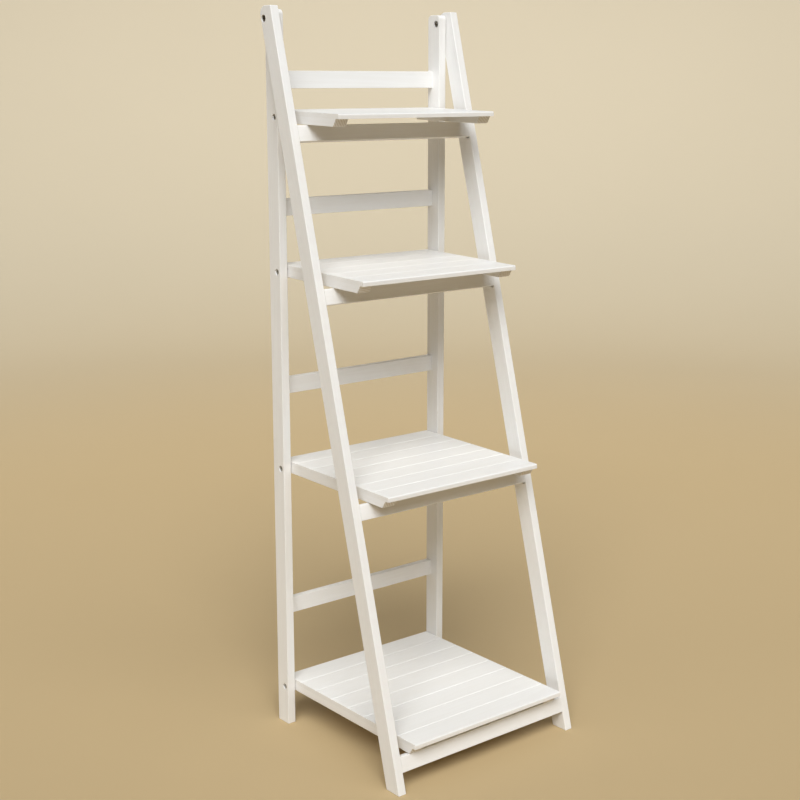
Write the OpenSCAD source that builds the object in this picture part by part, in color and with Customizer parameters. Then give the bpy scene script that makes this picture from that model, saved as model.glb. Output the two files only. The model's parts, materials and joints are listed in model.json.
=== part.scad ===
// Folding ladder shelf: an upright rear frame, a slanting front frame that is hinged to its top,
// and four slatted shelves that pivot on the rear frame and rest on the rails of the front frame.
// X is the width, +Y points to the wall and Z is up. The origin is in the middle of the footprint,
// on the floor. Lists of four run from the top shelf to the bottom shelf.

/* [Overall] */
// Height of the rear uprights
height = 1500; // [1496:2:1560]
// Width over the outer faces of the front legs
width = 480; // [420:5:560]
// Lean of the front frame from the vertical, in degrees
lean = 14.6; // [14.4:0.05:14.8]

/* [Frame timber] */
// Thickness of uprights and legs across the width
stock_t = 18.5; // [17:0.5:21]
// Depth of the rear uprights
upright_d = 37; // [34:0.5:38]
// Depth of the front legs
leg_d = 38; // [36:0.5:41]
// Gap between each upright and the front leg beside it
leg_gap = 1.5; // [1.5:0.1:3]
// Radius on both top corners of an upright
upright_round = 9.5; // [6:0.5:10]
// Radius on the rear top corner of a front leg
leg_round = 15; // [10:0.5:17]

/* [Rails] */
// Thickness of every rail
rail_t = 15; // [13:0.5:15]
// Height of a rear rail
rear_rail_h = 34.5; // [28:0.5:38]
// Height of a front rail, along the leg
front_rail_h = 32; // [30:0.5:32]
// Height of the lower edge of each rear rail above the floor
rear_rail_z = [1348.5, 1095.5, 726.5, 242.5]; // [230:0.5:1352]
// Height of the lower front edge of each front rail above the floor
front_rail_z = [1248, 936.5, 524.5, 40.5]; // [39:0.5:1248]
// Length of the tenon on each end of a rail
tenon_len = 10; // [6:0.5:12]
// Thickness of a tenon
tenon_t = 8; // [6:0.5:9]

/* [Shelves] */
// Height of each shelf's pivot above the floor
shelf_pivot_z = [1292.5, 984, 571, 83.5]; // [83:0.5:1293]
// Reach of each shelf's nose in front of the uprights' rear faces
shelf_d = [212.5, 285, 360, 443]; // [200:0.5:445]
// Number of slats in each shelf
slat_count = [4, 5, 7, 8]; // [4:1:9]
// Gap between each side of a shelf and the upright beside it
shelf_gap = 1.8; // [1.8:0.1:3]
// Thickness of a slat
slat_t = 9.5; // [8.5:0.5:9.5]
// Width of a bearer
bearer_w = 31; // [29:0.5:36]
// Height of a bearer
bearer_h = 15.5; // [15:0.5:16]
// Setback of a bearer's end behind the shelf's nose, at the slats
bearer_setback_top = 9; // [6:0.5:11]
// Setback of a bearer's end behind the shelf's nose, at its underside
bearer_setback_low = 18.5; // [14:0.5:20]

/* [Pivots] */
// Distance of all the pivots in an upright from its rear face
pivot_back = 25.5; // [25:0.5:26]
// Distance of the top pivot below the upright's top
pivot_drop = 18.5; // [16:0.5:20]
// Distance of the top pivot behind a front leg's front face
leg_pivot_front = 29; // [28.5:0.5:30]
// Distance of a shelf's pivot below the top of its slats
shelf_pivot_drop = 14; // [13.5:0.5:14.5]

/* [Hidden] */
$fn = 48;
eps = 0.02;
top = 0;
bottom = 3;
shelves = [top : bottom];

paint = [0.93, 0.91, 0.88];
steel = [0.45, 0.45, 0.44];
nylon = [0.80, 0.80, 0.78];

// Fasteners: M6 furniture bolts with a 4 mm hex socket, and 3 mm countersunk wood screws
bolt_r = 3;
pivot_bore_r = 3.05;
bolt_head_r = 5.5;
bolt_head_h = 3;
socket_r = 2.3;
socket_depth = 2;
head_clearance = 0.3;
top_head_r = 6.4;
top_recess_r = 7.2;
top_recess_depth = 4.1;
nut_recess_depth = 6;
shelf_recess_r = 6.5;
shelf_recess_depth = 4.5;
bolt_end_out = 1.2;
nut_r = 5.7;
nut_h = 4.5;
washer_gap = 0.3;
insert_r = 4.2;
insert_len = 15;
shelf_bolt_reach = 17;
screw_r = 1.5;
screw_head_r = 3;
screw_head_h = 1.6;
screw_hole_r = 1.6;
screw_recess_r = 3.5;
screw_recess_depth = 4;
screw_bite = 6;
screw_inset = 25;

// Joinery
mortise_clearance = 0.1;
tenon_shoulder = 5;
mortise_overrun = 3.5;
rest_gap = 0.3;
slat_gap = 0.1;
shelf_back = 0.5;
slat_chamfer = 1.2;
nose_round = 3;
leg_front_round = 2;
leg_rise = 6;

// Frame geometry, measured in a side view whose y is 0 at the rear face and negative to the front
rear_outer_w = width - 2 * (stock_t + leg_gap);
rear_inner_w = rear_outer_w - 2 * stock_t;
front_inner_w = width - 2 * stock_t;
shelf_w = rear_inner_w - 2 * shelf_gap;
pivot_y = -pivot_back;
pivot_z = height - pivot_drop;
foot_y = pivot_y - leg_pivot_front / cos(lean) - pivot_z * tan(lean);
shelf_under = slat_t + bearer_h - shelf_pivot_drop;
slat_under = shelf_pivot_drop - slat_t;
leg_len = pivot_z / cos(lean) + leg_d;

// Height in the leg's own frame, up from the top pivot, of a point on the front face z above the floor
function leg_height(z) = (z - pivot_z - leg_pivot_front * sin(lean)) / cos(lean);

// Top front edge of a front rail, where a shelf rests, as [y, z] of the side view
function rail_edge_z(i) = front_rail_z[i] + front_rail_h * cos(lean);
function rail_edge_y(i) = foot_y + rail_edge_z(i) * tan(lean);

// Small fall of a shelf to the front when its bearers lie on the rail, in degrees
function shelf_fall(i) =
    let (dy = pivot_y - rail_edge_y(i), dz = shelf_pivot_z[i] - rail_edge_z(i))
    atan2(dz, dy) - asin((shelf_under + rest_gap) / norm([dy, dz]));

// Foremost point of the rounded nose of shelf i at rest
function shelf_nose_y(i) =
    let (reach = shelf_d[i] - pivot_back - nose_round, rise = shelf_pivot_drop - nose_round)
    pivot_y - nose_round - reach * cos(shelf_fall(i)) - rise * sin(shelf_fall(i));

function slat_pitch(i) = shelf_d[i] / slat_count[i];

// Front edge of slat k in its shelf's own frame, with slat 0 at the nose
function slat_front(i, k) = pivot_back - shelf_d[i] + k * slat_pitch(i);

footprint_d = max(-foot_y, -shelf_nose_y(bottom));

// Moves the side view's y = 0 plane to the rear of the centred footprint
module from_rear() {
    translate([0, footprint_d / 2, 0]) children();
}

// Frame of the slanting front frame: its own z axis runs up along the legs from the top pivot
module from_top_pivot() {
    from_rear() translate([0, pivot_y, pivot_z]) rotate([-lean, 0, 0]) children();
}

// Frame of shelf i at rest: its origin is its pivot, with y negative to the nose
module from_shelf_pivot(i) {
    from_rear() translate([0, pivot_y, shelf_pivot_z[i]]) rotate([shelf_fall(i), 0, 0]) children();
}

module both_sides() {
    children();
    mirror([1, 0, 0]) children();
}

// Extrudes a side outline of (y, z) points from x0 over a thickness
module side_extrude(x0, thickness) {
    translate([x0, 0, 0]) rotate([90, 0, 90]) linear_extrude(thickness) children();
}

// Cylinder along X from x0 over a length
module x_cylinder(x0, length, r) {
    translate([x0, 0, 0]) rotate([0, 90, 0]) cylinder(r = r, h = length);
}

// Bar outline from y0 over a depth and from the floor to a height, with both top corners rounded
module rounded_bar(y0, depth, z1, r) {
    translate([y0, 0]) square([depth, z1 - r]);
    translate([y0 + r, 0]) square([depth - 2 * r, z1]);
    translate([y0 + r, z1 - r]) circle(r);
    translate([y0 + depth - r, z1 - r]) circle(r);
}

// Round-ended pocket for a tenon, cut from the plane x = face outwards to the right
module mortise(face, y_mid, z0, z1) {
    t = tenon_t + 2 * mortise_clearance;
    depth = tenon_len + 2 * mortise_clearance;
    translate([face - eps, y_mid - t / 2, z0 + t / 2]) cube([depth, t, z1 - z0 - t]);
    for (z = [z0 + t / 2, z1 - t / 2]) translate([0, y_mid, z]) x_cylinder(face - eps, depth, t / 2);
}

// Rail between two faces, with its front at y0 and its lower edge at z0, and a tenon on each end
module rail(inner_w, y0, z0, h) {
    tenon_h = h - 2 * tenon_shoulder - tenon_t / 2;
    translate([-inner_w / 2, y0, z0]) cube([inner_w, rail_t, h]);
    translate([-inner_w / 2 - tenon_len, y0 + (rail_t - tenon_t) / 2, z0 + (h - tenon_h) / 2])
        cube([inner_w + 2 * tenon_len, tenon_t, tenon_h]);
}

// Bolt along X with its axis on the X axis: the head's outer face is at x1, the shank runs to x0
module socket_bolt(x0, x1, head_r) {
    difference() {
        union() {
            x_cylinder(x0, x1 - x0 - bolt_head_h + eps, bolt_r);
            x_cylinder(x1 - bolt_head_h, bolt_head_h, head_r);
        }
        translate([x1 - socket_depth, 0, 0]) rotate([0, 90, 0])
            cylinder(r = socket_r, h = socket_depth + eps, $fn = 6);
    }
}

module washer(x0, thickness, r) {
    difference() {
        x_cylinder(x0, thickness, r);
        x_cylinder(x0 - eps, thickness + 2 * eps, pivot_bore_r);
    }
}

// Right-hand rear upright, with its bores, bolt recesses and mortises
module rear_upright() {
    inner = rear_inner_w / 2;
    outer = rear_outer_w / 2;
    rail_mid = -rail_t / 2;
    color(paint) from_rear() difference() {
        side_extrude(inner, stock_t)
            rounded_bar(-upright_d, upright_d, height, upright_round);
        translate([0, pivot_y, pivot_z]) {
            x_cylinder(inner - eps, stock_t + 2 * eps, pivot_bore_r);
            x_cylinder(inner - eps, nut_recess_depth + eps, top_recess_r);
        }
        for (z = shelf_pivot_z) translate([0, pivot_y, z]) {
            x_cylinder(inner - eps, stock_t + 2 * eps, pivot_bore_r);
            x_cylinder(outer - shelf_recess_depth, shelf_recess_depth + eps, shelf_recess_r);
        }
        for (z = rear_rail_z) mortise(inner, rail_mid, z + 1, z + rear_rail_h - 1);
    }
}

module rear_upright_left() { mirror([1, 0, 0]) rear_upright(); }
module rear_upright_right() { rear_upright(); }

// Height along the leg of the middle of a corner round of radius r at depth y, under the level top
function leg_corner(y, r) = (pivot_drop + leg_rise - r + y * sin(lean)) / cos(lean);

// Outline of a leg in its own frame, with a top that is level when the frame stands open
module leg_outline() {
    front = -leg_pivot_front;
    rear = front + leg_d;
    y_front = front + leg_front_round;
    y_rear = rear - leg_round;
    z_front = leg_corner(y_front, leg_front_round);
    z_rear = leg_corner(y_rear, leg_round);
    polygon([
        [front, -leg_len],
        [rear, -leg_len],
        [rear, z_rear],
        [y_rear - leg_round * sin(lean), z_rear + leg_round * cos(lean)],
        [y_front - leg_front_round * sin(lean), z_front + leg_front_round * cos(lean)],
        [front, z_front]
    ]);
    translate([y_front, z_front]) circle(leg_front_round);
    translate([y_rear, z_rear]) circle(leg_round);
}

// Right-hand front leg, cut level at the floor, with its pivot bore, bolt recess and mortises
module front_leg() {
    inner = front_inner_w / 2;
    outer = width / 2;
    rail_mid = -leg_pivot_front + rail_t / 2;
    color(paint) difference() {
        from_top_pivot() difference() {
            side_extrude(inner, stock_t) leg_outline();
            x_cylinder(inner - eps, stock_t + 2 * eps, pivot_bore_r);
            x_cylinder(outer - top_recess_depth, top_recess_depth + eps, top_recess_r);
            for (z = front_rail_z)
                mortise(inner, rail_mid, leg_height(z) - mortise_overrun, leg_height(z) + front_rail_h - 1);
        }
        translate([0, -height, -height]) cube([width, 2 * height, height]);
    }
}

module front_leg_left() { mirror([1, 0, 0]) front_leg(); }
module front_leg_right() { front_leg(); }

module rear_rail(i) {
    color(paint) from_rear() rail(rear_inner_w, -rail_t, rear_rail_z[i], rear_rail_h);
}

module front_rail(i) {
    color(paint) from_top_pivot()
        rail(front_inner_w, -leg_pivot_front, leg_height(front_rail_z[i]), front_rail_h);
}

// Bolts that carry the front legs, fixed in the uprights by the nuts
module top_pivot_bolts() {
    head_x = width / 2 - top_recess_depth + head_clearance + bolt_head_h;
    end_x = rear_inner_w / 2 - bolt_end_out;
    color(steel) from_rear() translate([0, pivot_y, pivot_z]) both_sides()
        socket_bolt(end_x, head_x, top_head_r);
}

module top_pivot_nuts() {
    color(steel) from_rear() translate([0, pivot_y, pivot_z]) both_sides() difference() {
        translate([rear_inner_w / 2 + nut_recess_depth - nut_h, 0, 0]) rotate([0, 90, 0])
            cylinder(r = nut_r, h = nut_h, $fn = 6);
        x_cylinder(rear_inner_w / 2 + nut_recess_depth - nut_h - eps, nut_h + 2 * eps, bolt_r + eps);
    }
}

module top_pivot_washers() {
    color(nylon) from_rear() translate([0, pivot_y, pivot_z])
        both_sides() washer(rear_outer_w / 2, leg_gap - washer_gap, top_recess_r);
}

module shelf_pivot_washers() {
    thickness = shelf_gap - washer_gap;
    color(nylon) from_rear() for (z = shelf_pivot_z)
        translate([0, pivot_y, z]) both_sides() washer(rear_inner_w / 2 - thickness, thickness, shelf_recess_r);
}

// Right-hand bearer of shelf i: a flat batten with a slanted front end, bored for its pivot and screws
module bearer(i) {
    nose = pivot_back - shelf_d[i];
    outer = shelf_w / 2;
    color(paint) difference() {
        side_extrude(outer - bearer_w, bearer_w) polygon([
            [nose + bearer_setback_top, slat_under],
            [nose + bearer_setback_low, -shelf_under],
            [pivot_back - shelf_back, -shelf_under],
            [pivot_back - shelf_back, slat_under]
        ]);
        x_cylinder(outer - insert_len, insert_len + eps, insert_r);
        x_cylinder(outer - shelf_bolt_reach - 1, shelf_bolt_reach, pivot_bore_r);
        for (k = [0 : slat_count[i] - 1]) translate([outer - screw_inset, slat_middle(i, k), -shelf_under - eps]) {
            cylinder(r = screw_hole_r, h = bearer_h + 2 * eps);
            cylinder(r = screw_recess_r, h = screw_recess_depth + eps);
        }
    }
}

module bearer_left(i) { from_shelf_pivot(i) mirror([1, 0, 0]) bearer(i); }
module bearer_right(i) { from_shelf_pivot(i) bearer(i); }

function slat_middle(i, k) = slat_front(i, k) + slat_pitch(i) / 2;

// Outline of slat k: chamfered upper edges, and a rounded nose on the front slat
module slat_outline(i, k) {
    y0 = slat_front(i, k) + (k == 0 ? 0 : slat_gap / 2);
    y1 = slat_front(i, k + 1) - (k == slat_count[i] - 1 ? shelf_back : slat_gap / 2);
    z1 = slat_under + slat_t;
    front = k == 0 ? [[y0, z1]] : [[y0, z1 - slat_chamfer], [y0 + slat_chamfer, z1]];
    rear = [[y1 - slat_chamfer, z1], [y1, z1 - slat_chamfer], [y1, slat_under]];
    difference() {
        polygon(concat([[y0, slat_under]], front, rear));
        if (k == 0) difference() {
            translate([y0 - eps, z1 - nose_round]) square(nose_round + eps);
            translate([y0 + nose_round, z1 - nose_round]) circle(nose_round);
        }
    }
}

module slat(i, k) {
    color(paint) from_shelf_pivot(i) difference() {
        side_extrude(-shelf_w / 2, shelf_w) slat_outline(i, k);
        both_sides() translate([shelf_w / 2 - screw_inset, slat_middle(i, k), slat_under - eps])
            cylinder(r = screw_hole_r, h = screw_bite + 2 * eps);
    }
}

// Screws that hold the slats down, driven up through the bearers
module slat_screws(i) {
    head_z = -shelf_under + screw_recess_depth - screw_head_h;
    color(steel) from_shelf_pivot(i) for (k = [0 : slat_count[i] - 1])
        both_sides() translate([shelf_w / 2 - screw_inset, slat_middle(i, k), head_z]) {
            cylinder(r = screw_head_r, h = screw_head_h);
            cylinder(r = screw_r, h = slat_under + screw_bite - head_z);
        }
}

// Bolts that a shelf swings on: they turn in the uprights and are held by inserts in the bearers
module shelf_pivot_bolts(i) {
    head_x = rear_outer_w / 2 - shelf_recess_depth + head_clearance + bolt_head_h;
    color(steel) from_shelf_pivot(i) both_sides() socket_bolt(shelf_w / 2 - shelf_bolt_reach, head_x, bolt_head_r);
}

module shelf_pivot_inserts(i) {
    color(steel) from_shelf_pivot(i) both_sides() difference() {
        x_cylinder(shelf_w / 2 - insert_len + eps, insert_len - 2 * eps, insert_r - eps);
        x_cylinder(shelf_w / 2 - insert_len - eps, insert_len + 2 * eps, bolt_r + eps);
    }
}

rear_upright_left();
rear_upright_right();
front_leg_left();
front_leg_right();
top_pivot_bolts();
top_pivot_nuts();
top_pivot_washers();
shelf_pivot_washers();
for (i = shelves) {
    rear_rail(i);
    front_rail(i);
    bearer_left(i);
    bearer_right(i);
    shelf_pivot_bolts(i);
    shelf_pivot_inserts(i);
    slat_screws(i);
    for (k = [0 : slat_count[i] - 1])
        slat(i, k);
}
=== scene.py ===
"""Looks of the folding ladder shelf: eased, painted timber, detailed fasteners and a plain studio."""

import json
import math
import random

import bmesh
import bpy
import numpy as np
from mathutils import Matrix, Vector


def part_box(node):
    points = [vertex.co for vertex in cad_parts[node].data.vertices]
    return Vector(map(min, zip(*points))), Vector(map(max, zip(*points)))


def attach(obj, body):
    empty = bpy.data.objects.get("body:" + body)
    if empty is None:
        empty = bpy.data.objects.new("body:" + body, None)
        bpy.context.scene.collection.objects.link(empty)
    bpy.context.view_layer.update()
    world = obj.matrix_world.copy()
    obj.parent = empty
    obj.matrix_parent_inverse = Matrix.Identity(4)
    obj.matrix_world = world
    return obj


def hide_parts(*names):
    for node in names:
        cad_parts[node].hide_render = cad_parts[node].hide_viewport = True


MM = 0.001

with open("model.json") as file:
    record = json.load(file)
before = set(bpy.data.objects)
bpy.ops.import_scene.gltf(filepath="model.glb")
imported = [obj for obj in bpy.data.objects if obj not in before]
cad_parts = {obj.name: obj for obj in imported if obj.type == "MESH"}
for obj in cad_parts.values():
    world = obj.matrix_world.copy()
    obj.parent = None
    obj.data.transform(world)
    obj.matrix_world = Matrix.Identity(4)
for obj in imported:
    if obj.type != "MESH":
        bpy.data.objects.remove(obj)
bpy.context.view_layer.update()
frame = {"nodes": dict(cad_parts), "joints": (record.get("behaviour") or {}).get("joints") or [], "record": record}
NODES = frame["nodes"]
BODY_OF = {n: body for body, members in frame["record"]["behaviour"]["bodies"].items() for n in members}
SLOT_OF = {part["node"]: part["material_slot"] for part in frame["record"]["subparts"]}

# ---------------------------------------------------------------- camera

CAMERA_AT = (-1.84776, -2.19896, 1.35703)
CAMERA_YAW = -39.1466
CAMERA_PITCH = -12.4818
CAMERA_ROLL = -0.0515
CAMERA_LENS = 64.2635
SENSOR_WIDTH = 36


def add_camera():
    data = bpy.data.cameras.new("camera")
    data.lens = CAMERA_LENS
    data.sensor_width = SENSOR_WIDTH
    data.dof.use_dof = False
    camera = bpy.data.objects.new("camera", data)
    bpy.context.scene.collection.objects.link(camera)
    turn = Matrix.Rotation(math.radians(CAMERA_YAW), 4, "Z")
    tilt = Matrix.Rotation(math.radians(90 + CAMERA_PITCH), 4, "X")
    roll = Matrix.Rotation(math.radians(CAMERA_ROLL), 4, "Z")
    camera.matrix_world = Matrix.Translation(CAMERA_AT) @ turn @ tilt @ roll
    bpy.context.scene.camera = camera


# ---------------------------------------------------------------- node graphs

# Places of the colour sockets on a Mix node.
MIX_FACTOR, MIX_A, MIX_B, MIX_RESULT = 0, 6, 7, 2


class Graph:
    """Short way to write a material's node tree around its Principled shader."""

    def __init__(self, name):
        self.material = bpy.data.materials.new(name)
        self.material.use_nodes = True
        self.tree = self.material.node_tree
        self.shader = self.tree.nodes["Principled BSDF"]

    def add(self, kind, sockets=None, output=0, **settings):
        """Adds a node with these inputs and settings, and returns one of its outputs."""
        node = self.tree.nodes.new(kind)
        for key, value in settings.items():
            setattr(node, key, value)
        for key, value in (sockets or {}).items():
            self.put(node.inputs[key], value)
        return node.outputs[output]

    def put(self, socket, value):
        """Links an output to the socket, or sets a constant on it."""
        if isinstance(value, bpy.types.NodeSocket):
            self.tree.links.new(value, socket)
        else:
            socket.default_value = value

    def math(self, operation, a, b):
        return self.add("ShaderNodeMath", {0: a, 1: b}, operation=operation)

    def sine(self, value):
        return self.add("ShaderNodeMath", {0: value}, operation="SINE")

    def times(self, a, b):
        return self.math("MULTIPLY", a, b)

    def total(self, *terms):
        """Sum of (value, weight) terms."""
        parts = [self.times(value, weight) for value, weight in terms]
        result = parts[0]
        for part in parts[1:]:
            result = self.math("ADD", result, part)
        return result

    def mix(self, factor, a, b):
        sockets = {MIX_FACTOR: factor, MIX_A: a, MIX_B: b}
        return self.add("ShaderNodeMix", sockets, output=MIX_RESULT, data_type="RGBA")

    def attribute(self, name, output="Fac"):
        return self.add("ShaderNodeAttribute", output=output, attribute_name=name)

    def place(self):
        """Coordinates of the piece itself, in metres."""
        return self.add("ShaderNodeTexCoord", output="Object")

    def scaled(self, vector, scale, location=(0, 0, 0)):
        return self.add("ShaderNodeMapping", {"Vector": vector, "Scale": scale, "Location": location})

    def noise(self, vector, scale=1.0, detail=2.0, roughness=0.5, distortion=0.0):
        sockets = {"Vector": vector, "Scale": scale, "Detail": detail, "Roughness": roughness}
        return self.add("ShaderNodeTexNoise", {**sockets, "Distortion": distortion})

    def ramp(self, value, low, high, to_low=0.0, to_high=1.0):
        """Smooth step from to_low at low to to_high at high."""
        sockets = {"Value": value, "From Min": low, "From Max": high, "To Min": to_low, "To Max": to_high}
        return self.add("ShaderNodeMapRange", sockets, interpolation_type="SMOOTHSTEP")

    def bump(self, height):
        """Surface normal for a height map in metres."""
        return self.add("ShaderNodeBump", {"Height": height, "Strength": 1.0, "Distance": 1.0})

    def finish(self, **sockets):
        """Fills the shader's sockets, named with underscores for spaces, and returns the material."""
        for key, value in sockets.items():
            self.put(self.shader.inputs[key.replace("_", " ")], value)
        return self.material


# ---------------------------------------------------------------- materials

PAINT_THICK = (0.855, 0.845, 0.827, 1)
PAINT_THIN = (0.795, 0.773, 0.733, 1)
WOOD_UNDER_CHIPS = (0.60, 0.49, 0.34, 1)
# Brown of the bearers' end cuts: partly bare end grain, partly painted shade of these downward-facing cuts.
WOOD_END_AND_SHADE = (0.46, 0.36, 0.24, 1)
ZINC_LIGHT = (0.52, 0.52, 0.50, 1)
ZINC_DARK = (0.36, 0.36, 0.34, 1)
# Dark brown of the top pivot bolts: partly a bronzed finish, partly painted shade of the bolt recesses.
BRONZE_AND_SHADE_LIGHT = (0.17, 0.145, 0.115, 1)
BRONZE_AND_SHADE_DARK = (0.10, 0.085, 0.07, 1)
NYLON_LIGHT = (0.80, 0.80, 0.77, 1)
NYLON_DARK = (0.74, 0.73, 0.69, 1)
FLOOR_LIGHT = (0.540, 0.402, 0.218, 1)
FLOOR_DARK = (0.520, 0.386, 0.206, 1)
BACKDROP_LIGHT = (0.455, 0.390, 0.280, 1)
BACKDROP_DARK = (0.440, 0.376, 0.268, 1)
BACKDROP_BLEND = (2.0, 6.0)

# Noise scales per metre. Three numbers run along the grain and then across it twice.
FIGURE_SCALE = (1.6, 30, 30)
PORE_SCALE = (26, 780, 780)
STROKE_SCALE = (5, 230, 230)
BLOTCH_SCALE = (4, 13, 13)
NICK_SCALE = (38, 150, 150)
PEEL_SCALE = 620.0
GROWTH_SCALE = 72.0
PLATING_SCALE = 420.0
SCRATCH_SCALE = (300, 2600, 2600)
SPARK_SCALE = 2600.0
MILK_SCALE = 300.0
FIBRE_SCALE = 340.0
PAPER_SCALE = 1.3

# These shifts keep noises on the same coordinates from lining up.
STROKE_SHIFT = (0.4, 3.1, 1.7)
BLOTCH_SHIFT = (2.3, 0.7, 5.1)
NICK_SHIFT = (7.7, 1.9, 4.2)

# Heights of the bumps in metres.
PORE_HEIGHT = 4.5e-5
RING_HEIGHT = 0.9e-5
STROKE_HEIGHT = 3.6e-5
PEEL_HEIGHT = 1.2e-5
CHIP_HEIGHT = -6.0e-5
SCRATCH_HEIGHT = 8e-6
PLATING_HEIGHT = 1.2e-5
SPARK_HEIGHT = 9e-6
FIBRE_HEIGHT = 6e-5

FIGURE_RINGS = 62.0
CHIP_STRENGTH = 0.30
# How far the bearers' end cuts turn brown: partly bare grain, partly painted shade.
BARE_AND_SHADE_RANGE = (0.04, 0.38)
PAINT_ROUGHNESS = 0.30
PAINT_COAT = 0.12
PAINT_COAT_ROUGHNESS = 0.32
STEEL_ROUGHNESS = 0.18
NYLON_ROUGHNESS = 0.38
PAPER_ROUGHNESS = 0.7


def painted_wood():
    """Satin warm white paint, thin enough for the softwood's figure to show through it."""
    g = Graph("painted_wood")
    grain = g.attribute("grain", "Vector")
    edge = g.attribute("edge")
    end = g.attribute("end_grain")
    bare_and_shaded = g.attribute("bare_and_shaded_end")
    figure = g.noise(g.scaled(grain, FIGURE_SCALE), detail=2.5, distortion=0.35)
    rings = g.sine(g.times(figure, FIGURE_RINGS))
    pores = g.noise(g.scaled(grain, PORE_SCALE), detail=3.0, roughness=0.65)
    strokes = g.noise(g.scaled(grain, STROKE_SCALE, STROKE_SHIFT), detail=4.0, roughness=0.6)
    peel = g.noise(grain, PEEL_SCALE)
    blotch = g.noise(g.scaled(grain, BLOTCH_SCALE, BLOTCH_SHIFT), detail=3.0)
    nicks = g.noise(g.scaled(grain, NICK_SCALE, NICK_SHIFT), detail=3.0, roughness=0.7)

    # End faces get thinner, darker paint: partly end grain soaking up paint, partly painted shade.
    thinness = g.total(
        (g.ramp(blotch, 0.3, 0.7), 0.30),
        (g.ramp(rings, -1.0, 1.0), 0.18),
        (g.ramp(pores, 0.3, 0.75), 0.22),
        (end, 0.25),
    )
    paint = g.mix(g.math("MINIMUM", thinness, 1.0), PAINT_THICK, PAINT_THIN)
    chips = g.times(edge, g.ramp(nicks, 0.60, 0.72))
    worn = g.mix(g.times(chips, CHIP_STRENGTH), paint, WOOD_UNDER_CHIPS)
    growth = g.add(
        "ShaderNodeTexWave",
        {"Vector": grain, "Scale": GROWTH_SCALE, "Distortion": 2.5, "Detail": 3.0, "Detail Scale": 1.2},
        output="Fac", wave_type="RINGS", rings_direction="X",
    )
    # Bearer end cuts turn brown along the growth rings: partly bare grain, partly painted shade of the cuts that
    # face down.
    bareness_and_shade = g.times(bare_and_shaded, g.ramp(growth, 0.15, 0.85, *BARE_AND_SHADE_RANGE))
    colour = g.mix(bareness_and_shade, worn, WOOD_END_AND_SHADE)

    relief = g.total((blotch, 0.12), (pores, 0.14), (end, 0.16), (chips, 0.14))
    roughness = g.math("ADD", relief, PAINT_ROUGHNESS)
    height = g.total(
        (pores, PORE_HEIGHT),
        (rings, RING_HEIGHT),
        (strokes, STROKE_HEIGHT),
        (peel, PEEL_HEIGHT),
        (chips, CHIP_HEIGHT),
    )
    return g.finish(
        Base_Color=colour,
        Roughness=roughness,
        Normal=g.bump(height),
        Coat_Weight=PAINT_COAT,
        Coat_Roughness=PAINT_COAT_ROUGHNESS,
    )


def plated_steel(name, light, dark):
    """Plated steel that has dulled: fine scratches and a cloudy bloom between two tones."""
    g = Graph(name)
    place = g.place()
    cloud = g.noise(place, PLATING_SCALE, detail=4.0, roughness=0.6)
    scratch = g.noise(g.scaled(place, SCRATCH_SCALE), detail=3.0)
    colour = g.mix(g.ramp(cloud, 0.3, 0.7), light, dark)
    roughness = g.math("ADD", g.total((cloud, 0.22), (scratch, 0.12)), STEEL_ROUGHNESS)
    height = g.total((scratch, SCRATCH_HEIGHT), (cloud, PLATING_HEIGHT))
    return g.finish(Base_Color=colour, Metallic=1.0, Roughness=roughness, Normal=g.bump(height))


def nylon():
    """Milky moulded nylon with a fine spark-eroded texture."""
    g = Graph("nylon")
    place = g.place()
    spark = g.noise(place, SPARK_SCALE)
    cloud = g.noise(place, MILK_SCALE, detail=3.0)
    colour = g.mix(cloud, NYLON_LIGHT, NYLON_DARK)
    roughness = g.math("ADD", g.times(spark, 0.14), NYLON_ROUGHNESS)
    return g.finish(Base_Color=colour, Roughness=roughness, Normal=g.bump(g.times(spark, SPARK_HEIGHT)))


def studio_paper():
    """Plain pale warm paper, deeper in colour on the floor than on the backdrop."""
    g = Graph("studio_paper")
    place = g.place()
    fibre = g.noise(place, FIBRE_SCALE, detail=3.0, roughness=0.6)
    cloud = g.noise(place, PAPER_SCALE)
    tone = g.total((fibre, 0.35), (cloud, 0.65))
    reach = g.add("ShaderNodeVectorMath", {0: place}, output="Value", operation="LENGTH")
    floor = g.mix(tone, FLOOR_LIGHT, FLOOR_DARK)
    backdrop = g.mix(tone, BACKDROP_LIGHT, BACKDROP_DARK)
    colour = g.mix(g.ramp(reach, *BACKDROP_BLEND), floor, backdrop)
    height = g.times(fibre, FIBRE_HEIGHT)
    return g.finish(Base_Color=colour, Roughness=PAPER_ROUGHNESS, Normal=g.bump(height))


# ---------------------------------------------------------------- timber

WELD = 2e-6
TOUCH = 0.1 * MM
STRAIGHT = 0.01 * MM
SQUARE = 0.01
FLAT = math.radians(0.5)
SHARP = math.radians(30)
SMOOTH = math.radians(38)

# Radii of the rounded arrises, of those round the slats and of the rims of the bolt recesses.
EASE = 1.3 * MM
SLAT_EASE = 0.5 * MM
RIM_EASE = 0.25 * MM
EASE_SPREAD = (0.85, 1.15)
EASE_SEGMENTS = 3
RIM_SEGMENTS = 2

# An edge this near a pivot's axis is a rim, and an edge this near the outline or an end is an arris.
RIM_REACH = 7.6 * MM
OUTLINE_BAND = 2.5 * MM
END_BAND = 12 * MM
END_FACE = 0.6
GRAIN_SHIFT = 9
FACE_WEIGHT = 100
PIVOTS = [Vector(joint["pos_m"]) for joint in frame["joints"]]


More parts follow.
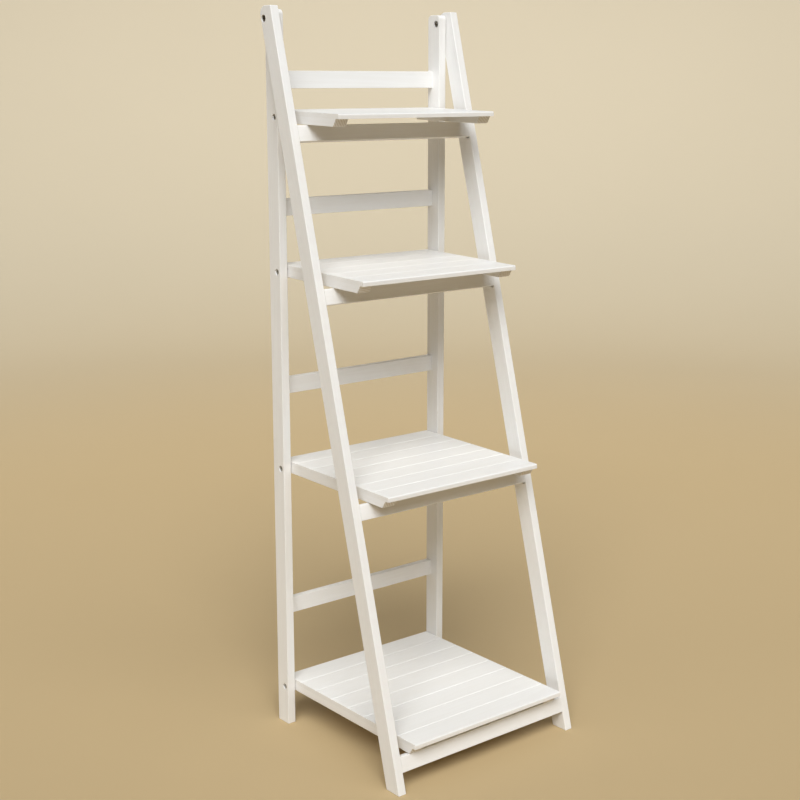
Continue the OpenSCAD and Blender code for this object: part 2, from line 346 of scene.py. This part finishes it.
def board_axes(mesh):
    """Columns: along the grain, across the board and through its thickness, from the areas of its faces."""
    areas = {}
    for face in mesh.polygons:
        n = face.normal
        lead = max(n, key=abs)
        key = tuple(round(c * math.copysign(1, lead), 2) + 0.0 for c in n)
        total, weighted = areas.get(key, (0.0, Vector()))
        areas[key] = (total + face.area, weighted + n * math.copysign(face.area, lead))
    ranked = [pair[1].normalized() for pair in sorted(areas.values(), key=lambda pair: -pair[0])]
    thick = ranked[0]
    across = next(n for n in ranked if abs(n.dot(thick)) < SQUARE)
    return Matrix((across.cross(thick), across, thick)).transposed()


def near_pivot(point):
    return any(math.hypot(point.y - p.y, point.z - p.z) < RIM_REACH for p in PIVOTS)


def sort_edges(bm, axes, shoulder, joined):
    """Splits the sharp outer edges into the board's arrises and the rims of its bolt recesses.

    joined(a, b, low, high) says whether the edge between points a and b of the board, whose box is low to
    high along the board's own axes, lies in a painted-over joint. A board with tenons gives its shoulder,
    half its length between them, and has no other arrises than the long ones between its shoulders.
    """
    local = {v: axes.transposed() @ v.co for v in bm.verts}
    low = Vector(min(p[i] for p in local.values()) for i in range(3))
    high = Vector(max(p[i] for p in local.values()) for i in range(3))
    arrises, rims = [], []
    for edge in bm.edges:
        if len(edge.link_faces) != 2 or not edge.is_convex or edge.calc_face_angle() < SHARP:
            continue
        a, b = (local[v] for v in edge.verts)
        if joined(a, b, low, high):
            continue
        if shoulder is not None:
            straight = math.hypot(a.y - b.y, a.z - b.z) < STRAIGHT
            if straight and abs(abs(a.x - b.x) - 2 * shoulder) < MM:
                arrises.append(edge)
            continue
        if all(near_pivot(v.co) for v in edge.verts):
            rims.append(edge)
            continue
        middle = (a + b) / 2
        inside = low.y + OUTLINE_BAND < middle.y < high.y - OUTLINE_BAND
        clear_of_ends = low.x + END_BAND < middle.x < high.x - END_BAND
        if not (inside and clear_of_ends):
            arrises.append(edge)
    return arrises, rims


def never(a, b, low, high):
    return False


def slat_joint(up):
    """Lower edges of a slat and the upright edges of its ends: they lie on the bearer or by the next slat."""
    def joined(a, b, low, high):
        at_end = any(abs(a.x - end.x) + abs(b.x - end.x) < TOUCH for end in (low, high))
        bottom = low.z if up > 0 else high.z
        nearer, farther = sorted((abs(a.z - bottom), abs(b.z - bottom)))
        return (nearer if at_end else farther) < TOUCH
    return joined


def bearer_joint(up):
    """Upper edges of a bearer: the slats cover them."""
    def joined(a, b, low, high):
        top = high.z if up > 0 else low.z
        return max(abs(a.z - top), abs(b.z - top)) < TOUCH
    return joined


def ease_edges(bm, edges, radius, segments):
    """Rounds the edges and returns the vertices inside the rounded bands."""
    if not edges:
        return set()
    made = bmesh.ops.bevel(
        bm, geom=edges, offset=radius, offset_type="OFFSET", segments=segments, profile=0.5,
        affect="EDGES", clamp_overlap=True, loop_slide=False,
    )
    band = set(made["faces"])
    return {v for v in made["verts"] if v.is_valid and all(f in band for f in v.link_faces)}


def add_attribute(mesh, name, domain, values):
    mesh.attributes.new(name, "FLOAT", domain).data.foreach_set("value", values)


def timber(node):
    """Painted board that stands for a CAD node: eased arrises, and grain coordinates along its own length."""
    rng = random.Random(node)
    source = NODES[node].data
    axes = board_axes(source)
    low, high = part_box(node)
    bm = bmesh.new()
    bm.from_mesh(source)
    bmesh.ops.remove_doubles(bm, verts=bm.verts, dist=WELD)
    bmesh.ops.dissolve_limit(bm, angle_limit=FLAT, verts=bm.verts, edges=bm.edges)
    shoulder, joined, ease = None, never, EASE
    if "_rail_" in node:
        stile = "rear_upright_right" if node.startswith("rear") else "front_leg_right"
        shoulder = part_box(stile)[0].x
    if "_slat_" in node:
        joined, ease = slat_joint(axes.col[2].z), SLAT_EASE
    if "_bearer_" in node:
        joined = bearer_joint(axes.col[2].z)
    arrises, rims = sort_edges(bm, axes, shoulder, joined)
    worn = ease_edges(bm, arrises, ease * rng.uniform(*EASE_SPREAD), EASE_SEGMENTS)
    rims = [e for e in rims if e.is_valid]
    ease_edges(bm, rims, RIM_EASE, RIM_SEGMENTS)
    bmesh.ops.recalc_face_normals(bm, faces=bm.faces)
    bm.verts.index_update()
    worn_indices = [v.index for v in worn if v.is_valid]
    ends = np.array([abs(f.normal.dot(axes.col[0])) > END_FACE for f in bm.faces], float)
    mesh = bpy.data.meshes.new(node + "_timber")
    bm.to_mesh(mesh)
    bm.free()

    count = len(mesh.vertices)
    points = np.empty(count * 3)
    mesh.vertices.foreach_get("co", points)
    centre = np.array((low + high) / 2)
    shift = np.array([rng.uniform(0, GRAIN_SHIFT) for _ in range(3)])
    grain = (points.reshape(-1, 3) - centre) @ np.array(axes) + shift
    mesh.attributes.new("grain", "FLOAT_VECTOR", "POINT").data.foreach_set("vector", grain.ravel())
    edge = np.zeros(count)
    edge[worn_indices] = 1.0
    add_attribute(mesh, "edge", "POINT", edge)
    add_attribute(mesh, "end_grain", "FACE", ends)
    # Bearer end cuts are marked for their brown, which is partly bare grain and partly painted shade.
    add_attribute(mesh, "bare_and_shaded_end", "FACE", ends if "_bearer_" in node else np.zeros(len(ends)))
    stand_for(node, mesh, "painted_wood")


def stand_for(node, mesh, material):
    """Object of a mesh that replaces a CAD node, rides on its body and takes the material it is given."""
    mesh.materials.append(MATERIALS[material])
    mesh.shade_smooth()
    mesh.set_sharp_from_angle(angle=SMOOTH)
    piece = bpy.data.objects.new(node + "_detailed", mesh)
    bpy.context.scene.collection.objects.link(piece)
    weighted = piece.modifiers.new("even_faces", "WEIGHTED_NORMAL")
    weighted.keep_sharp = True
    weighted.weight = FACE_WEIGHT
    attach(piece, BODY_OF[node])
    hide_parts(node)


# ---------------------------------------------------------------- fasteners

SEGMENTS = 48

# Sizes in millimetres. Pairs are heights and radii, along a profile.
TOP_HEAD_RADIUS = 6.4
SHELF_HEAD_RADIUS = 5.5
SHANK_TIP = [(0, 0), (0, 2.3), (0.5, 2.9)]
SHANK_RADIUS = 2.97
THREAD_ROOT = 2.55
THREAD_FROM = 0.5
THREAD_STEP = 0.25
THREAD_STEPS = 32

# The head's edge is measured from its full radius, and its dome is a share of the way out from the socket.
HEAD_HEIGHT = 3
HEAD_EDGE = [(0.0, -0.6), (0.15, -0.15), (0.45, 0.0)]
DOME = [(1.0, 0.97), (1.7, 0.82), (2.35, 0.56), (2.8, 0.24), (3.0, 0.0)]
DOME_INNER = 2.75

# Depths from the end, not heights.
SOCKET_WALL = [(0.02, 2.55), (0.25, 2.3), (1.8, 2.3)]
SOCKET_FLOOR = [(2.0, 1.9), (2.3, 0)]
SCREW_POINT = [(2.0, 1.0), (0.0, 0)]

NUT_BORE = 3.05
NUT_MOUTH = 3.35
NUT_FACE = 4.6
NUT_SINK = 0.25
NUT_CHAMFER = [(0.0, 4.75), (0.12, 5.0), (0.45, 5.45), (0.8, 5.7)]
WASHER_BORE = 3.07
WASHER_LIP = 0.25
TOP_WASHER_RADIUS = 7.2
SHELF_WASHER_RADIUS = 6.5
SCREW_RECESS = [(1.15, 0, "round"), (0.9, 1.0, "cross"), (0.05, 1.75, "cross")]
SCREW_HEAD = [(0.0, 1.95), (0.12, 2.45), (0.5, 2.85), (1.0, 3.0), (1.6, 3.0), (1.6, 1.35)]
SCREW_THREAD_FROM = 2.0
SCREW_THREAD_STEP = 0.5
SCREW_CREST = 1.45
SCREW_ROOT = 1.05
SCREW_PLAIN_LENGTH = 5
CROSS_WEB = 0.42
CROSS_SHARPNESS = 5


def ring_radius(shape, radius, angle):
    """Radius at an angle of a round, hexagonal (corner radius) or cross-shaped ring."""
    if shape == "hex":
        return radius * math.cos(math.pi / 6) / math.cos(angle % (math.pi / 3) - math.pi / 6)
    if shape == "cross":
        return radius * (CROSS_WEB + (1 - CROSS_WEB) * abs(math.cos(2 * angle)) ** CROSS_SHARPNESS)
    return radius


def rounds(pairs):
    return [(height, radius, "round") for height, radius in pairs]


def turned(bm, place, rings, tube=False):
    """Lathe of (height, radius, shape) rings in millimetres. A radius of 0 closes an end.

    A tube joins its last ring to its first.
    """
    loops = []
    for height, radius, shape in rings:
        if radius == 0:
            loops.append([bm.verts.new(place @ Vector((0, 0, height * MM)))])
            continue
        loop = []
        for s in range(SEGMENTS):
            angle = 2 * math.pi * s / SEGMENTS
            r = ring_radius(shape, radius, angle) * MM
            loop.append(bm.verts.new(place @ Vector((r * math.cos(angle), r * math.sin(angle), height * MM))))
        loops.append(loop)
    pairs = list(zip(loops, loops[1:]))
    if tube:
        pairs.append((loops[-1], loops[0]))
    for a, b in pairs:
        for s in range(SEGMENTS):
            t = (s + 1) % SEGMENTS
            if len(a) == 1:
                bm.faces.new((a[0], b[t], b[s]))
            elif len(b) == 1:
                bm.faces.new((a[s], a[t], b[0]))
            else:
                bm.faces.new((a[s], a[t], b[t], b[s]))


def islands(node):
    """Lists of the points of each separate solid in a CAD node."""
    bm = bmesh.new()
    bm.from_mesh(NODES[node].data)
    bmesh.ops.remove_doubles(bm, verts=bm.verts, dist=WELD)
    left, groups = set(bm.verts), []
    for seed in bm.verts:
        if seed not in left:
            continue
        left.discard(seed)
        group, queue = [], [seed]
        while queue:
            v = queue.pop()
            group.append(v.co.copy())
            for e in v.link_edges:
                w = e.other_vert(v)
                if w in left:
                    left.discard(w)
                    queue.append(w)
        groups.append(group)
    bm.free()
    return groups


def seat(points, axis):
    """Matrix whose z runs along the axis from the solid's low end, with the solid's length in millimetres."""
    axis = axis.normalized()
    heights = [p.dot(axis) for p in points]
    side = axis.orthogonal().normalized()
    other = axis.cross(side)

    def middle(direction):
        reach = [p.dot(direction) for p in points]
        return (min(reach) + max(reach)) / 2 * direction

    origin = middle(side) + middle(other) + min(heights) * axis
    place = Matrix((side, other, axis)).transposed().to_4x4()
    place.translation = origin
    return place, (max(heights) - min(heights)) / MM


def fasteners(node, rings_for, axis_for, material, tube=False):
    """One turned shape for each solid of a CAD node, on the solid's own axis and as long as it is."""
    bm = bmesh.new()
    for points in islands(node):
        place, length = seat(points, axis_for(points))
        turned(bm, place, rings_for(length), tube)
    bmesh.ops.recalc_face_normals(bm, faces=bm.faces)
    mesh = bpy.data.meshes.new(node + "_turned")
    bm.to_mesh(mesh)
    bm.free()
    stand_for(node, mesh, material)


def outwards(points):
    """Axis of a bolt, nut or washer: away from the middle plane of the shelf."""
    return Vector((math.copysign(1, sum(p.x for p in points)), 0, 0))


def bolt_rings(radius):
    """M6 button head with a 4 mm hex socket and a rolled thread on the last millimetres of its shank."""
    def rings(length):
        under = length - HEAD_HEIGHT
        thread = []
        for k in range(1, THREAD_STEPS + 1):
            thread.append((THREAD_FROM + THREAD_STEP * k, THREAD_ROOT if k % 4 == 2 else SHANK_RADIUS))
        head = [(under, SHANK_RADIUS)] + [(under + h, radius + grow) for h, grow in HEAD_EDGE]
        head += [(under + h, DOME_INNER + (radius - DOME_INNER) * share) for h, share in DOME]
        socket = [(length - depth, r, "hex") for depth, r in SOCKET_WALL]
        floor = [(length - depth, r) for depth, r in SOCKET_FLOOR]
        return rounds(SHANK_TIP + thread + head) + socket + rounds(floor)
    return rings


def nut_rings(length):
    """Hexagon nut with both faces chamfered and a countersunk bore."""
    low = [(NUT_SINK, NUT_BORE), (0.0, NUT_MOUTH), (0.0, NUT_FACE)]
    high = [(length - h, r) for h, r in reversed(low)]
    flats = [(h, r, "hex") for h, r in NUT_CHAMFER]
    flats += [(length - h, r, "hex") for h, r in reversed(NUT_CHAMFER)]
    return rounds(low) + flats + rounds(high)


def washer_rings(outer):
    """Flat ring with its four corners chamfered."""
    def rings(length):
        low = [(WASHER_LIP, WASHER_BORE), (0, WASHER_BORE + WASHER_LIP)]
        low += [(0, outer - WASHER_LIP), (WASHER_LIP, outer)]
        return rounds(low) + rounds((length - h, r) for h, r in reversed(low))
    return rings


def screw_rings(length):
    """Pan-head wood screw, head first, with a cross recess and a cut thread."""
    thread = []
    for k in range(int((length - SCREW_PLAIN_LENGTH) / SCREW_THREAD_STEP)):
        thread.append((SCREW_THREAD_FROM + SCREW_THREAD_STEP * k, SCREW_CREST if k % 2 else SCREW_ROOT))
    point = [(length - depth, r) for depth, r in SCREW_POINT]
    return SCREW_RECESS + rounds(SCREW_HEAD) + rounds(thread) + rounds(point)


def slat_axis(number):
    """Upward axis across the slats of a shelf."""
    axis = board_axes(NODES[f"shelf_{number}_slat_1"].data).col[2]
    return axis * math.copysign(1, axis.z)


# ---------------------------------------------------------------- studio

STAGE_FLAT = 4.2
STAGE_RADIUS = 7.5
STAGE_HEIGHT = 4.5
STAGE_STEPS = 24
STAGE_SIDES = 96
FLOOR_RINGS = [0.6 * k for k in range(1, 7)]


def add_stage():
    """Round studio floor that sweeps up into a plain backdrop on every side."""
    bend = STAGE_RADIUS - STAGE_FLAT
    profile = [(radius, 0.0) for radius in FLOOR_RINGS + [STAGE_FLAT]]
    for k in range(1, STAGE_STEPS + 1):
        a = math.pi / 2 * k / STAGE_STEPS
        profile.append((STAGE_FLAT + bend * math.sin(a), bend * (1 - math.cos(a))))
    profile.append((STAGE_RADIUS, STAGE_HEIGHT))
    angles = [2 * math.pi * s / STAGE_SIDES for s in range(STAGE_SIDES)]
    bm = bmesh.new()
    centre = bm.verts.new((0, 0, 0))
    loops = []
    for radius, z in profile:
        loops.append([bm.verts.new((radius * math.cos(a), radius * math.sin(a), z)) for a in angles])
    for s in range(STAGE_SIDES):
        t = (s + 1) % STAGE_SIDES
        bm.faces.new((centre, loops[0][s], loops[0][t]))
        for a, b in zip(loops, loops[1:]):
            bm.faces.new((a[s], b[s], b[t], a[t]))
    mesh = bpy.data.meshes.new("stage")
    bm.to_mesh(mesh)
    bm.free()
    mesh.shade_smooth()
    mesh.materials.append(studio_paper())
    stage = bpy.data.objects.new("stage", mesh)
    bpy.context.scene.collection.objects.link(stage)


# Azimuth left of the object's front, elevation and apparent size in degrees, then strength.
LAMPS = {
    "key": (42, 48, 38, 2.45),
    "key_low": (42, 22, 50, 1.10),
    "fill_front": (0, 45, 50, 1.05),
    "fill_left": (85, 40, 50, 0.60),
    "fill_back": (222, 25, 60, 0.30),
}
LAMP_COLOUR = (0.955, 0.978, 1.0)


def add_lights():
    """Broad soft light from the front left, made of overlapping suns, and nothing from the world."""
    for name, (azimuth, elevation, size, strength) in LAMPS.items():
        data = bpy.data.lights.new(name, "SUN")
        data.energy = strength
        data.angle = math.radians(size)
        data.color = LAMP_COLOUR
        lamp = bpy.data.objects.new(name, data)
        turn = Matrix.Rotation(math.radians(-azimuth), 4, "Z")
        tilt = Matrix.Rotation(math.radians(90 - elevation), 4, "X")
        lamp.matrix_world = turn @ tilt
        bpy.context.scene.collection.objects.link(lamp)
    world = bpy.data.worlds.new("studio")
    world.use_nodes = True
    world.node_tree.nodes["Background"].inputs["Strength"].default_value = 0.0
    bpy.context.scene.world = world
    bpy.context.scene.view_settings.view_transform = "Standard"


# ---------------------------------------------------------------- build

MATERIALS = {
    "painted_wood": painted_wood(),
    "zinc": plated_steel("zinc_steel", ZINC_LIGHT, ZINC_DARK),
    # The dark bronze is partly a finish and partly painted shade of the recesses around the top bolts.
    "bronze_and_shade": plated_steel("bronzed_and_shaded_steel", BRONZE_AND_SHADE_LIGHT, BRONZE_AND_SHADE_DARK),
    "nylon": nylon(),
}

add_camera()
add_stage()
add_lights()
for node in sorted(NODES):
    if SLOT_OF[node] == "painted_wood":
        timber(node)
# The top bolts are coloured dark, which partly stands in for the shade in their recesses.
fasteners("top_pivot_bolts", bolt_rings(TOP_HEAD_RADIUS), outwards, "bronze_and_shade")
fasteners("top_pivot_nuts", nut_rings, outwards, "zinc", tube=True)
fasteners("top_pivot_washers", washer_rings(TOP_WASHER_RADIUS), outwards, "nylon", tube=True)
fasteners("shelf_pivot_washers", washer_rings(SHELF_WASHER_RADIUS), outwards, "nylon", tube=True)
for number in range(1, 5):
    axis = slat_axis(number)
    fasteners(f"shelf_{number}_pivot_bolts", bolt_rings(SHELF_HEAD_RADIUS), outwards, "zinc")
    fasteners(f"shelf_{number}_slat_screws", screw_rings, lambda points, axis=axis: axis, "zinc")
    inserts = NODES[f"shelf_{number}_pivot_inserts"].data
    inserts.materials.clear()
    inserts.materials.append(MATERIALS["zinc"])
